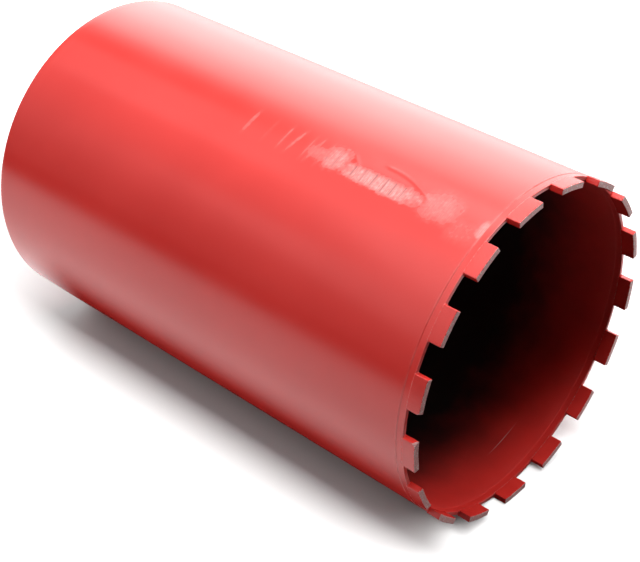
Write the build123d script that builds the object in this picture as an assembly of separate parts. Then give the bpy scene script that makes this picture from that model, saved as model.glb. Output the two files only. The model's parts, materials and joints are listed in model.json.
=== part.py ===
from build123d import *
import os

# Diamond core bit for wet drilling, in millimetres. It stands on its cutting tips, the way it
# stands on a floor and meets the work: Z = 0 is the plane of the tips, +Z runs up the axis
# to the threaded hub, and the origin is the centre of the ring of tips.

# Ring of cutting segments
BIT_DIAMETER = 250.0  # over the outside of the segments
SEGMENT_COUNT = 17
SEGMENT_LENGTH = 24.5  # along the ring, between two parallel ends
SEGMENT_THICKNESS = 4.5  # radial, so it is the width of the cut
SEGMENT_HEIGHT = 10.0  # from the rim of the barrel to the tip
SEGMENT_END_CHAMFER = 0.5  # upright edges at both ends
SEGMENT_TIP_CHAMFER = 0.4  # edge round the cutting face
FIRST_SEGMENT_ANGLE = -90.0  # centre of segment_01, anticlockwise from +X seen from +Z

# Barrel: a rolled and seam-welded steel tube, turned thin at the rim to seat the segments
BARREL_LENGTH = 400.0
BARREL_WALL = 3.2
CUT_RELIEF = 0.6  # the segments stand this far outside the barrel, so it never rubs the hole
LAND_WIDTH = 5.0  # height of the turned band at the rim
LAND_DEPTH = 0.25  # taken off the wall there, outside and inside
LAND_RUNOUT = 0.4  # height of the slope that ends the band
BACK_BEVEL = 1.5  # turned on the outer edge of the tube's back end
BACK_BORE_CHAMFER = 0.6  # on the inner edge there
SEAM_ANGLE = -60.0  # where the lengthwise weld runs, anticlockwise from +X
SEAM_DRESSED_WIDTH = 16.0  # width of the flat that grinding left along the weld

# Back plate: a disc let into the back end of the tube and welded all round
PLATE_THICKNESS = 10.0
PLATE_INSET = 6.0  # depth of the plate's outer face below the end of the tube
PLATE_CLEARANCE = 0.1  # radial gap between plate and tube
PLATE_LEAD_IN = 1.0  # chamfer that guides the plate into the tube
PLATE_WELD_LEG = 4.0

# Hub: one turned and milled piece with a round collar, a hexagon for the wrench, and a spigot
# through the plate
COLLAR_DIAMETER = 62.0
COLLAR_HEIGHT = 12.0
COLLAR_CHAMFER = 1.5
HEXAGON_ACROSS_FLATS = 41.0
HEXAGON_HEIGHT = 28.0
HEXAGON_CORNER_DROP = 2.0  # height of the turned slope on the hexagon's corners
SPIGOT_DIAMETER = 40.0
SPIGOT_CLEARANCE = 0.1  # radial gap between spigot and plate
THREAD_WALL_DIAMETER = 28.2  # wall of the tapped hole for the 1 1/4 inch, 7 per inch thread
THREAD_DEPTH = 36.0  # from the hub's face to the end of the tapped wall
THREAD_MOUTH_DIAMETER = 33.0  # lead-in at the hub's face
DRILL_POINT_HEIGHT = 1.9  # cone that the tapping drill left below the tapped wall
WATER_BORE_DIAMETER = 22.0
HUB_WELD_LEG = 5.0

WELD_CROWN = 0.7  # how far a weld's face swells past the straight line between its toes

# Places that follow from those sizes
BIT_RADIUS = BIT_DIAMETER / 2
SEGMENT_INNER_RADIUS = BIT_RADIUS - SEGMENT_THICKNESS
BARREL_RADIUS = BIT_RADIUS - CUT_RELIEF
BORE_RADIUS = BARREL_RADIUS - BARREL_WALL
RIM_Z = SEGMENT_HEIGHT
BACK_Z = RIM_Z + BARREL_LENGTH
PLATE_TOP_Z = BACK_Z - PLATE_INSET
PLATE_BOTTOM_Z = PLATE_TOP_Z - PLATE_THICKNESS
COLLAR_RADIUS = COLLAR_DIAMETER / 2
SPIGOT_RADIUS = SPIGOT_DIAMETER / 2
COLLAR_TOP_Z = PLATE_TOP_Z + COLLAR_HEIGHT
HUB_FACE_Z = COLLAR_TOP_Z + HEXAGON_HEIGHT


def turned(outline):
    """A solid of revolution about Z from (radius, height) points, joined by straight lines."""
    section = make_face(Plane.XZ * Polyline(*outline, close=True))
    return revolve(section, Axis.Z)


def fillet_weld(wall_radius, wall_side, floor_z, leg):
    """A ring of weld in the corner of an upright round wall and a flat floor.

    wall_side is 1 where the weld lies outside the wall and -1 where it lies inside it.
    Between its two toes the face swells past the straight line, in three flats.
    """
    swell = WELD_CROWN / 2**0.5
    outline = [(wall_radius, floor_z)]
    for climb, crown in ((0, 0), (1 / 3, swell), (2 / 3, swell), (1, 0)):
        across = leg * (1 - climb) + crown
        up = leg * climb + crown
        outline.append((wall_radius + wall_side * across, floor_z + up))
    return turned(outline)


def barrel_tube():
    """The rolled tube: thin turned band at the rim, bevelled back edge, dressed seam."""
    land_top = RIM_Z + LAND_WIDTH
    wall_bottom = land_top + LAND_RUNOUT
    tube = turned(
        [
            (BARREL_RADIUS - LAND_DEPTH, RIM_Z),
            (BARREL_RADIUS - LAND_DEPTH, land_top),
            (BARREL_RADIUS, wall_bottom),
            (BARREL_RADIUS, BACK_Z - BACK_BEVEL),
            (BARREL_RADIUS - BACK_BEVEL, BACK_Z),
            (BORE_RADIUS + BACK_BORE_CHAMFER, BACK_Z),
            (BORE_RADIUS, BACK_Z - BACK_BORE_CHAMFER),
            (BORE_RADIUS, wall_bottom),
            (BORE_RADIUS + LAND_DEPTH, land_top),
            (BORE_RADIUS + LAND_DEPTH, RIM_Z),
        ]
    )
    return tube - seam_grinding()


def seam_grinding():
    """The metal that dressing took off along the seam: a chord of the tube, above the band."""
    half_width = SEAM_DRESSED_WIDTH / 2
    flat_distance = (BARREL_RADIUS**2 - half_width**2) ** 0.5
    bottom = RIM_Z + LAND_WIDTH + LAND_RUNOUT
    slab = Box(
        BARREL_RADIUS,
        SEAM_DRESSED_WIDTH * 2,
        BACK_Z - bottom,
        align=(Align.MIN, Align.CENTER, Align.MIN),
    )
    return Rot(0, 0, SEAM_ANGLE) * Pos(flat_distance, 0, bottom) * slab


def back_plate():
    """The round plate that closes the back of the barrel, bored for the hub's spigot."""
    outer = BORE_RADIUS - PLATE_CLEARANCE
    hole = SPIGOT_RADIUS + SPIGOT_CLEARANCE
    return turned(
        [
            (hole, PLATE_BOTTOM_Z),
            (outer - PLATE_LEAD_IN, PLATE_BOTTOM_Z),
            (outer, PLATE_BOTTOM_Z + PLATE_LEAD_IN),
            (outer, PLATE_TOP_Z),
            (hole, PLATE_TOP_Z),
        ]
    )


def plate_weld():
    """The weld between the plate's outer face and the inside of the tube."""
    return fillet_weld(BORE_RADIUS, -1, PLATE_TOP_Z, PLATE_WELD_LEG)


def hub_weld():
    """The weld between the hub's collar and the plate."""
    return fillet_weld(COLLAR_RADIUS, 1, PLATE_TOP_Z, HUB_WELD_LEG)


def hub_bore():
    """The hole through the hub: lead-in, tapped wall, drill point and water bore."""
    thread_radius = THREAD_WALL_DIAMETER / 2
    mouth_radius = THREAD_MOUTH_DIAMETER / 2
    water_radius = WATER_BORE_DIAMETER / 2
    thread_end = HUB_FACE_Z - THREAD_DEPTH
    return turned(
        [
            (0, PLATE_BOTTOM_Z),
            (water_radius, PLATE_BOTTOM_Z),
            (water_radius, thread_end - DRILL_POINT_HEIGHT),
            (thread_radius, thread_end),
            (thread_radius, HUB_FACE_Z - (mouth_radius - thread_radius)),
            (mouth_radius, HUB_FACE_Z),
            (0, HUB_FACE_Z),
        ]
    )


def hub_hexagon():
    """The wrench hexagon, with its upper corners turned down to a round face."""
    half_flats = HEXAGON_ACROSS_FLATS / 2
    prism = extrude(
        RegularPolygon(half_flats, 6, major_radius=False), HEXAGON_HEIGHT
    )
    corner_radius = half_flats / 3**0.5 * 2
    turned_envelope = turned(
        [
            (0, 0),
            (corner_radius, 0),
            (corner_radius, HEXAGON_HEIGHT - HEXAGON_CORNER_DROP),
            (half_flats, HEXAGON_HEIGHT),
            (0, HEXAGON_HEIGHT),
        ]
    )
    return Pos(0, 0, COLLAR_TOP_Z) * (prism & turned_envelope)


def hub():
    """Spigot, collar and hexagon in one piece, bored through."""
    blank = turned(
        [
            (0, PLATE_BOTTOM_Z),
            (SPIGOT_RADIUS, PLATE_BOTTOM_Z),
            (SPIGOT_RADIUS, PLATE_TOP_Z),
            (COLLAR_RADIUS, PLATE_TOP_Z),
            (COLLAR_RADIUS, COLLAR_TOP_Z - COLLAR_CHAMFER),
            (COLLAR_RADIUS - COLLAR_CHAMFER, COLLAR_TOP_Z),
            (0, COLLAR_TOP_Z),
        ]
    )
    return blank + hub_hexagon() - hub_bore()


def cutting_segment():
    """One diamond segment on +X: a block bent to the ring's radius, seated on the rim."""
    ring = Circle(BIT_RADIUS) - Circle(SEGMENT_INNER_RADIUS)
    window = Rectangle(
        BIT_DIAMETER, SEGMENT_LENGTH, align=(Align.MIN, Align.CENTER)
    )
    block = extrude(ring & window, SEGMENT_HEIGHT)
    block = chamfer(block.edges().filter_by(Axis.Z), SEGMENT_END_CHAMFER)
    return chamfer(block.faces().sort_by(Axis.Z)[0].edges(), SEGMENT_TIP_CHAMFER)


def bit_pieces():
    """Every piece of the bit by name, each in its place."""
    pieces = {
        "barrel_tube": barrel_tube(),
        "back_plate": back_plate(),
        "plate_weld": plate_weld(),
        "hub": hub(),
        "hub_weld": hub_weld(),
    }
    segment = cutting_segment()
    pitch = 360 / SEGMENT_COUNT
    for index in range(SEGMENT_COUNT):
        angle = FIRST_SEGMENT_ANGLE + index * pitch
        pieces[f"segment_{index + 1:02d}"] = Rot(0, 0, angle) * segment
    return pieces


os.makedirs("parts", exist_ok=True)
for name, piece in bit_pieces().items():
    export_step(piece, f"parts/{name}.step")
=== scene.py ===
# %% [markdown]
# # A diamond core bit
#
# A core bit for wet drilling is an open steel tube. A ring of diamond segments is brazed on its
# rim, and the back end is closed by a plate with a threaded hub. The CAD model gives every
# piece its true size and place. This lesson gives the pieces their looks: paint, grinding
# marks, worn cutting faces, weld beads and bare thread.
#
# The bit is seen lying on its side, the way it is laid down on a bench, but the model stands
# on its cutting tips. So the floor, the lamps and the camera are turned round the bit here,
# and the bit itself never moves.

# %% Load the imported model
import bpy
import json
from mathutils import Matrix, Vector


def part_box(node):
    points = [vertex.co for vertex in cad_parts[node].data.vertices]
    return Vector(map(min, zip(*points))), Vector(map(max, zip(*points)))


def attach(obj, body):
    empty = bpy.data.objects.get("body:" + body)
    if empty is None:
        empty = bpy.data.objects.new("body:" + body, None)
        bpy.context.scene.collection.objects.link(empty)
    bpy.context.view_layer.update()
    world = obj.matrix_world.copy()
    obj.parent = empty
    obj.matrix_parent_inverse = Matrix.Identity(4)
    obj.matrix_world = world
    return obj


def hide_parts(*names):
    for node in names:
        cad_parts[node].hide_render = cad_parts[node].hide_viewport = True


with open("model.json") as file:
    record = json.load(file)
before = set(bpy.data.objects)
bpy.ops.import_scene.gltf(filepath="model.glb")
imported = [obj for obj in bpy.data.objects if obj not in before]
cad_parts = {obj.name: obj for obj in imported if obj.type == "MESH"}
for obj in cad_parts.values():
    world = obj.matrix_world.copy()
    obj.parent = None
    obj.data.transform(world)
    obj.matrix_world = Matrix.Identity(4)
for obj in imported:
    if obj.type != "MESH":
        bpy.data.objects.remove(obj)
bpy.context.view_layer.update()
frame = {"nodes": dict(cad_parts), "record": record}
print("CAD nodes:", len(frame["nodes"]))

# %% Modules and the unit
import json
import math

import bmesh
import bpy
import numpy as np
from mathutils import Matrix

MM = 0.001  # the sizes below are written in millimetres, and Blender works in metres
scene = bpy.context.scene

# %% [markdown]
# ## Sizes
#
# The heights and the outer radii are read from the boxes of the CAD nodes, so that a piece made
# here lands where the CAD piece is. Walls and small edges can't be read from a box, so they are
# named below, at the sizes that they have in the CAD model.

# %% Read the main sizes from the frame
barrel_low, barrel_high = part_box("barrel_tube")
plate_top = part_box("back_plate")[1].z
hub_low, hub_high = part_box("hub")
spindle = next(m for m in frame["record"]["mounts"] if m["name"] == "spindle_thread")

segment_names = sorted(name for name in frame["nodes"] if name.startswith("segment_"))
ring_radius = -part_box(segment_names[0])[0].y
rim_z = barrel_low.z
back_z = barrel_high.z
barrel_radius = barrel_high.x
print("barrel radius", round(barrel_radius / MM, 2), "mm, from z", rim_z / MM, "to", back_z / MM)
print("segments:", len(segment_names), "on a ring of radius", round(ring_radius / MM, 2), "mm")

# %% Name the sizes that a box can't give
BARREL_WALL = 3.2 * MM
LAND_WIDTH = 5.0 * MM
LAND_DEPTH = 0.25 * MM
LAND_RUNOUT = 0.4 * MM
BACK_BEVEL = 1.5 * MM
BACK_BORE_CHAMFER = 0.6 * MM
SEGMENT_LENGTH = 24.5 * MM
SEGMENT_THICKNESS = 4.5 * MM
bore_radius = barrel_radius - BARREL_WALL

# %% [markdown]
# ## Directions
#
# Three directions are enough to place everything round a bit that lies on its side: up from the
# floor, towards the near side, and back along the axis to the hub. Up is turned away from the
# model's axes, because the bit lies on the joint of two segments.

# %% Up, near and back
UP_ANGLE = math.radians(-38.67)  # direction of up, anticlockwise from +X about the axis
UP = np.array([math.cos(UP_ANGLE), math.sin(UP_ANGLE), 0.0])
NEAR = np.array([math.sin(UP_ANGLE), -math.cos(UP_ANGLE), 0.0])
BACK = np.array([0.0, 0.0, 1.0])


def place(up, near, back):
    """Point in the row frame that is so far up from the axis, to the near side, and back."""
    return up * UP + near * NEAR + back * BACK


def barrel_angle(degrees_from_up):
    """Angle about the axis, anticlockwise from +X, of a line that is so many degrees down
    the near side of the barrel."""
    return UP_ANGLE - math.radians(degrees_from_up)


print("up", UP.round(3), "near", NEAR.round(3))

# %% [markdown]
# ## Camera
#
# The camera looks down on the bit by about 35 degrees, from the rim's end. A long lens, 81 mm
# on a 36 mm frame, keeps the barrel's sides almost parallel.

# %% Make the camera
CAMERA_PLACE = (0.0578542, -0.88079814, -0.39982121)
CAMERA_FORWARD = (-0.07511572, 0.83315339, 0.54791701)
CAMERA_UP = (0.9044164, -0.17450129, 0.38933311)
CAMERA_LENS = 80.907
SENSOR_WIDTH = 36.0


def facing(origin, z_axis, y_axis):
    """Matrix of an object at origin whose Z and Y axes point along the two given directions."""
    z = np.array(z_axis) / np.linalg.norm(z_axis)
    x = np.cross(y_axis, z)
    x /= np.linalg.norm(x)
    columns = np.array([x, np.cross(z, x), z, origin]).T
    return Matrix(np.vstack([columns, [0.0, 0.0, 0.0, 1.0]]).tolist())


camera_data = bpy.data.cameras.new("camera")
camera_data.sensor_width = SENSOR_WIDTH
camera_data.lens = CAMERA_LENS
camera = bpy.data.objects.new("camera", camera_data)
scene.collection.objects.link(camera)
camera.matrix_world = facing(CAMERA_PLACE, -np.array(CAMERA_FORWARD), CAMERA_UP)
scene.camera = camera
print("camera", round(float(np.dot(CAMERA_PLACE, UP)), 3), "m above the axis")

# %% [markdown]
# ## Shader nodes in short
#
# A finish is a small tree of shader nodes. A few helpers keep the trees readable. The first
# makes a node and fills its inputs, with a link where the value is another node's output. The
# others make the sums, ramps and blends that every finish here needs.

# %% Helpers for node trees
def add(tree, kind, settings=None, **inputs):
    """New shader node. settings are its own options. Each other word names an input, which is
    linked if the value is a socket and set if it is a number or colour."""
    made = tree.nodes.new("ShaderNode" + kind)
    for name, value in (settings or {}).items():
        setattr(made, name, value)
    for name, value in inputs.items():
        fill(tree, made.inputs[name.replace("_", " ")], value)
    return made


def fill(tree, socket, value):
    """Links or sets one input."""
    if isinstance(value, bpy.types.NodeSocket):
        tree.links.new(value, socket)
    else:
        socket.default_value = value


def sums(tree, operation, *values):
    """Output of a Math node that works on one to three values."""
    made = tree.nodes.new("ShaderNodeMath")
    made.operation = operation
    for socket, value in zip(made.inputs, values):
        fill(tree, socket, value)
    return made.outputs[0]


def dot(tree, vector, axis):
    """Output of a direction's or place's share along one axis."""
    made = add(tree, "VectorMath", {"operation": "DOT_PRODUCT"})
    fill(tree, made.inputs[0], vector)
    made.inputs[1].default_value = axis
    return made.outputs["Value"]


def from_axis(tree, spot):
    """Output of a place's distance from the bit's axis."""
    flat = add(tree, "VectorMath", {"operation": "MULTIPLY"})
    fill(tree, flat.inputs[0], spot)
    flat.inputs[1].default_value = (1.0, 1.0, 0.0)
    length = add(tree, "VectorMath", {"operation": "LENGTH"})
    tree.links.new(flat.outputs[0], length.inputs[0])
    return length.outputs["Value"]


def ramp(tree, value, low, high, start=0.0, end=1.0):
    """Value from start to end, smoothly, as the input goes from low to high."""
    made = add(tree, "MapRange", {"interpolation_type": "SMOOTHSTEP"}, Value=value)
    for name, number in (("From Min", low), ("From Max", high), ("To Min", start), ("To Max", end)):
        made.inputs[name].default_value = number
    return made.outputs["Result"]


def blend_colours(tree, factor, first, second):
    """Output colour between two colours."""
    made = tree.nodes.new("ShaderNodeMix")
    made.data_type = "RGBA"
    fill(tree, made.inputs[0], factor)
    fill(tree, made.inputs[6], first)
    fill(tree, made.inputs[7], second)
    return made.outputs[2]


def noise(tree, place_socket, scale, detail=2.0, roughness=0.5):
    """Output of a Noise texture, from 0 to 1, with so many lumps a metre."""
    return add(tree, "TexNoise", Vector=place_socket, Scale=scale, Detail=detail,
               Roughness=roughness).outputs["Fac"]


def blend_shaders(tree, factor, first, second):
    """Mix of two shader nodes, by a factor from 0 to 1."""
    made = add(tree, "MixShader")
    for socket, value in zip(made.inputs, (factor, first.outputs[0], second.outputs[0])):
        tree.links.new(value, socket)
    return made


def new_material(name):
    """Empty material, its tree, and its output node."""
    material = bpy.data.materials.new(name)
    material.use_nodes = True
    material.node_tree.nodes.clear()
    return material, material.node_tree, material.node_tree.nodes.new("ShaderNodeOutputMaterial")


print("node helpers ready")


# %% [markdown]
# ## Floor
#
# A product picture has a white floor with only the object's soft shadow on it. The barrel lies
# on the floor, so the floor is a plane that touches the barrel's side, and its face looks up.
# It is made in layers. The shown floor is what the camera sees: it has lamps of its own, which
# make it white without more light on the bit. The soft floor is what the bit sees. It throws
# the lamps' light back on the underside, but none from in front of the mouth, as where a black
# card lies there, so the bore stays dark. To the paint's gloss it is a bright sheet with the
# bit's shadow on it. Seen from below or edge on, both are clear. They end on the far side like
# a table, because the paint's top reflects what stands beyond the edge. A third sheet, level
# under the cutting tips, is the floor for views in which the bit stands.

# %% Make the floors
FLOOR_REACH = 6.0
SHEET_GAP = 1.0 * MM  # the soft floor lies this much under the shown one
TIP_GAP = 0.5 * MM  # and the standing floor this much under the tips
TABLE_EDGE = -0.9  # how far to the near side the floor starts, so this is on the far side
SOFT_SHARE = 0.75  # share of the light that the soft floor throws back
SHOWN_SHARE = 0.40  # less here, so that the bit's red light shows less in its shadow
DARK_FROM = -0.02  # the soft floor fades out from here towards the front
DARK_TO = -0.15
SHADE_FROM = 0.04  # and under the bit's sides it is darker, as the shadow there is
SHADE_TO = 0.13
SHADE_SHARE = 0.5
GLOSS_SIDES = (0.10, 0.19)  # in the gloss, the bit's shadow ends between these to both sides
GLOSS_BACK = (0.40, 0.48)  # and between these behind it
GLOSS_BRIGHT = 1.6  # brightness of the soft floor in the gloss, beside the bit
GLOSS_FAR = 0.7  # and farther away
GLOSS_FADE = (0.4, 1.1)  # it falls from one to the other between these
GLOW_FROM = 0.35  # distance from the bit's middle where the shown floor starts to glow
GLOW_TO = 0.7
CLEAR_FROM = 0.78  # one less the cosine of the view at which a floor starts to turn clear
CLEAR_TO = 0.88
WHITE = (1.0, 1.0, 1.0, 1.0)
floor_centre = place(-ring_radius, 0.0, 0.2)


def flat_sheet(name, origin, across, along, start, end, material):
    """Rectangle whose face looks along across x along. start and end hold how far it reaches
    from its origin in the two directions."""
    turns = ((start[0], start[1]), (end[0], start[1]), (end[0], end[1]), (start[0], end[1]))
    corners = [(origin + i * across + j * along).tolist() for i, j in turns]
    mesh = bpy.data.meshes.new(name)
    mesh.from_pydata(corners, [], [(0, 1, 2, 3)])
    mesh.materials.append(material)
    sheet = bpy.data.objects.new(name, mesh)
    scene.collection.objects.link(sheet)
    return sheet


def white_from_above(white, tree, output):
    """Ends a floor's tree with its white shader on the upper face. The lower face is clear, and
    so is the upper one where it is seen almost along the floor."""
    facing_away = add(tree, "LayerWeight", Blend=0.5).outputs["Facing"]
    below = add(tree, "NewGeometry").outputs["Backfacing"]
    clear = sums(tree, "MAXIMUM", below, ramp(tree, facing_away, CLEAR_FROM, CLEAR_TO))
    mixed = blend_shaders(tree, clear, white, add(tree, "BsdfTransparent"))
    tree.links.new(mixed.outputs[0], output.inputs["Surface"])


def shown_material(name, centre):
    """White that glows by itself far from the centre, where its lamps don't reach."""
    material, tree, output = new_material(name)
    plain = add(tree, "BsdfDiffuse", Color=(SHOWN_SHARE, SHOWN_SHARE, SHOWN_SHARE, 1.0))
    from_bit = add(tree, "VectorMath", {"operation": "DISTANCE"})
    fill(tree, from_bit.inputs[0], add(tree, "TexCoord").outputs["Object"])
    from_bit.inputs[1].default_value = centre
    glow = add(tree, "Emission", Strength=ramp(tree, from_bit.outputs["Value"], GLOW_FROM, GLOW_TO))
    both = add(tree, "AddShader")
    tree.links.new(plain.outputs[0], both.inputs[0])
    tree.links.new(glow.outputs[0], both.inputs[1])
    white_from_above(both, tree, output)
    return material


def soft_material(name):
    """White that turns black in front of the mouth and darker under the bit's sides. Gloss
    sees it as a glow that fades with distance and is dark in the bit's shadow."""
    material, tree, output = new_material(name)
    spot = add(tree, "TexCoord").outputs["Object"]
    back = dot(tree, spot, BACK)
    aside = sums(tree, "ABSOLUTE", dot(tree, spot, NEAR))
    share = ramp(tree, back, DARK_TO, DARK_FROM, 0.0, SOFT_SHARE)
    share = sums(tree, "MULTIPLY", share, ramp(tree, aside, SHADE_FROM, SHADE_TO, SHADE_SHARE, 1.0))
    grey = add(tree, "CombineColor", Red=share, Green=share, Blue=share)
    plain = add(tree, "BsdfDiffuse", Color=grey.outputs[0])
    open_floor = sums(tree, "MAXIMUM", ramp(tree, aside, *GLOSS_SIDES), ramp(tree, back, *GLOSS_BACK))
    glow = sums(tree, "MULTIPLY", open_floor, ramp(tree, aside, *GLOSS_FADE, GLOSS_BRIGHT, GLOSS_FAR))
    in_gloss = add(tree, "LightPath").outputs["Is Glossy Ray"]
    picked = blend_shaders(tree, in_gloss, plain, add(tree, "Emission", Strength=glow))
    white_from_above(picked, tree, output)
    return material


lying = (-FLOOR_REACH, TABLE_EDGE), (FLOOR_REACH, FLOOR_REACH)
level = (-FLOOR_REACH, -FLOOR_REACH), (FLOOR_REACH, FLOOR_REACH)
shown_floor = flat_sheet("shown_floor", floor_centre, BACK, NEAR, *lying,
                         shown_material("white_floor", floor_centre))
soft_floor = flat_sheet("soft_floor", floor_centre - SHEET_GAP * UP, BACK, NEAR, *lying,
                        soft_material("soft_white"))
standing_floor = flat_sheet("standing_floor", place(0.0, 0.0, -TIP_GAP), NEAR, UP, *level,
                            shown_material("white_standing_floor", place(0.0, 0.0, 0.0)))
for sheet in (shown_floor, standing_floor):
    sheet.visible_diffuse = False
    sheet.visible_glossy = False
    sheet.visible_shadow = False
soft_floor.visible_camera = False
for sheet in (shown_floor, soft_floor, standing_floor):
    print(sheet.name, "faces", [round(v, 3) for v in sheet.data.polygons[0].normal])


# %% [markdown]
# ## Lamps
#
# The gloss on a tube is the picture of its lamps, drawn out along the tube. So the lamps that
# give the even red hang over the rim, where the camera doesn't see their picture in the paint,
# and the glow in the gloss is left to the world. The panel on the far side, in front of the
# rim, shines past the rim on the bore's near end, and a small one in front lights the cutting
# faces. A panel's brightness is written as the brightness of its face, and the lamp's power
# follows from its area. Light linking keeps each lamp to the bit or to one of the floors, so
# the floor gets white without more light on the bit.

# %% Panels above the floor
PANEL_HEIGHT = 0.9  # over the bit's axis


def lit_group(name, sheet, state):
    """Collection for light linking that holds one floor sheet, to light only it (INCLUDE) or
    everything else (EXCLUDE)."""
    group = bpy.data.collections.new(name)
    group.objects.link(sheet)
    group.collection_objects[0].light_linking.link_state = state
    return group


for_floor = lit_group("for_floor", shown_floor, "INCLUDE")
for_standing_floor = lit_group("for_standing_floor", standing_floor, "INCLUDE")
not_floor = lit_group("not_floor", shown_floor, "EXCLUDE")
not_floor.objects.link(standing_floor)
not_floor.collection_objects[1].light_linking.link_state = "EXCLUDE"


def soft_lamp(name, matrix, width, depth, brightness, receivers):
    """Rectangular lamp that the camera doesn't see, with the brightness of its face."""
    data = bpy.data.lights.new(name, "AREA")
    data.shape = "RECTANGLE"
    data.size = width
    data.size_y = depth
    data.energy = brightness * math.pi * width * depth
    lamp = bpy.data.objects.new(name, data)
    scene.collection.objects.link(lamp)
    lamp.matrix_world = matrix
    lamp.visible_camera = False
    lamp.visible_glossy = receivers == not_floor
    lamp.light_linking.receiver_collection = receivers
    print(name, round(data.energy, 1), "W")
    return lamp


def panel(name, near, back, brightness, receivers):
    """Lamp that hangs level over the axis and shines down. near and back are the stretches that
    it spans to the near side and back along the axis."""
    matrix = facing(place(PANEL_HEIGHT, sum(near) / 2, sum(back) / 2), UP, NEAR)
    return soft_lamp(name, matrix, back[1] - back[0], near[1] - near[0], brightness, receivers)

# %% Hang the lamps
BIT_PANELS = (  # name, stretch to the near side, stretch back along the axis, brightness
    ("far_front_panel", (-0.75, -0.25), (-0.3, 0.0), 16.0),
    ("over_panel", (-0.37, -0.1), (0.0, 0.3), 9.0),
    ("over_back_panel", (-0.37, -0.1), (0.3, 0.7), 3.0),
    ("key_panel", (-0.1, 0.3), (0.0, 0.3), 8.0),
    ("key_back_panel", (-0.1, 0.3), (0.3, 1.3), 1.1),
    ("near_panel", (0.3, 0.9), (0.3, 0.7), 1.4),
    ("low_near_panel", (0.9, 2.5), (0.3, 1.3), 0.6),
)
FLOOR_PANELS = (
    ("floor_main_panel", (0.15, 0.5), (0.0, 0.4), 39.0),
    ("floor_front_panel", (-0.2, 0.5), (-2.0, 0.0), 18.0),
    ("floor_over_panel", (-0.2, 0.15), (-0.5, 0.4), 7.5),
    ("floor_wide_panel", (-2.5, 1.6), (-2.0, 2.5), 1.3),
)
FRONT_PLACE = place(0.5, -0.45, -1.4)
STANDING_PLACE = (0.0, 0.0, 1.6)

bit_panels = [panel(*row, not_floor) for row in BIT_PANELS]
bit_panels[0].visible_glossy = False  # or it would make a hard line of light along the tube
soft_lamp("front_panel", facing(FRONT_PLACE, -BACK, UP), 1.0, 0.6, 2.2, not_floor)
floor_panels = [panel(*row, for_floor) for row in FLOOR_PANELS]
soft_lamp("standing_panel", facing(STANDING_PLACE, BACK, UP), 1.6, 1.6, 9.0, for_standing_floor)
print("panels over the bit", len(bit_panels), "and over the floor", len(floor_panels))

# %% [markdown]
# ## World
#
# The pale bands along a painted tube are the picture of the sky round it, drawn out along the
# tube. So the sky's brightness is given by the angle round the bit's axis, from the far side
# over the top down to the near side, and runs smoothly from level to level. It is bright from
# the far side up to half height, then dark over the top, with a weak second glow on the near
# side. Nothing comes from in front of the mouth, so the inside of the barrel stays dark.

# %% Make the world
SKY_ANGLES = (-32.0, -12.0, 8.0, 28.0, 48.0, 68.0, 88.0, 112.0, 140.0, 170.0, 200.0)
SKY_LEVELS = (0.0, 2.2, 2.9, 3.85, 3.3, 0.3, 0.15, 0.8, 0.7, 0.3, 0.0)
SKY_FRONT = (0.0, 0.4)  # the sky begins between these shares of back in a ray's direction


def world_light():
    """White to the camera. To everything else, a brightness by the angle round the axis, in
    degrees up from far: the sum of one hump for each level, which rises from the angle before
    and falls to the angle after. It fades out to the front."""
    world = bpy.data.worlds.new("studio")
    scene.world = world
    world.use_nodes = True
    tree = world.node_tree
    direction = add(tree, "TexCoord").outputs["Generated"]
    to_up, to_near, to_back = (dot(tree, direction, axis) for axis in (UP, NEAR, BACK))
    round_axis = sums(tree, "ARCTAN2", to_up, sums(tree, "MULTIPLY", to_near, -1.0))
    angle = sums(tree, "MULTIPLY", round_axis, 180.0 / math.pi)
    glow = 0.0
    for low, middle, high, level in zip(SKY_ANGLES, SKY_ANGLES[1:], SKY_ANGLES[2:], SKY_LEVELS[1:]):
        rise = ramp(tree, angle, low, middle)
        fall = ramp(tree, angle, high, middle)
        part = sums(tree, "MULTIPLY", sums(tree, "MINIMUM", rise, fall), level)
        glow = sums(tree, "ADD", glow, part)
    glow = sums(tree, "MULTIPLY", glow, ramp(tree, to_back, *SKY_FRONT))
    seen = add(tree, "LightPath").outputs["Is Camera Ray"]
    background = tree.nodes["Background"]
    fill(tree, background.inputs["Strength"], sums(tree, "MAXIMUM", seen, glow))
    background.inputs["Color"].default_value = WHITE


world_light()
print("sky", dict(zip(SKY_ANGLES, SKY_LEVELS)))


# %% [markdown]
# ## Surfaces from numbers
#
# Every new piece is a grid of points. One parameter runs along the rows and one along the
# columns, and numpy works out all points at once. A closed direction joins its last row or
# column to its first, so that no seam is left open.

# %% Turn a grid of points into an object
def grid_faces(rows, columns, close_rows, close_columns):
    """Quads between neighbours in a grid of rows x columns points."""
    index = np.arange(rows * columns).reshape(rows, columns)
    if close_rows:
        index = np.vstack([index, index[:1]])
    if close_columns:
        index = np.hstack([index, index[:, :1]])
    corners = index[:-1, :-1], index[1:, :-1], index[1:, 1:], index[:-1, 1:]
    return np.stack(corners, axis=-1).reshape(-1, 4)


def enclosed_volume(points, faces):
    """Volume inside closed quads, as the sum of cones from the origin. It is negative where
    the faces look inwards."""
    a, b, c, d = (points[faces[:, k]] for k in range(4))
    return float(((a * np.cross(b, c)).sum() + (a * np.cross(c, d)).sum()) / 6.0)


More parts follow.
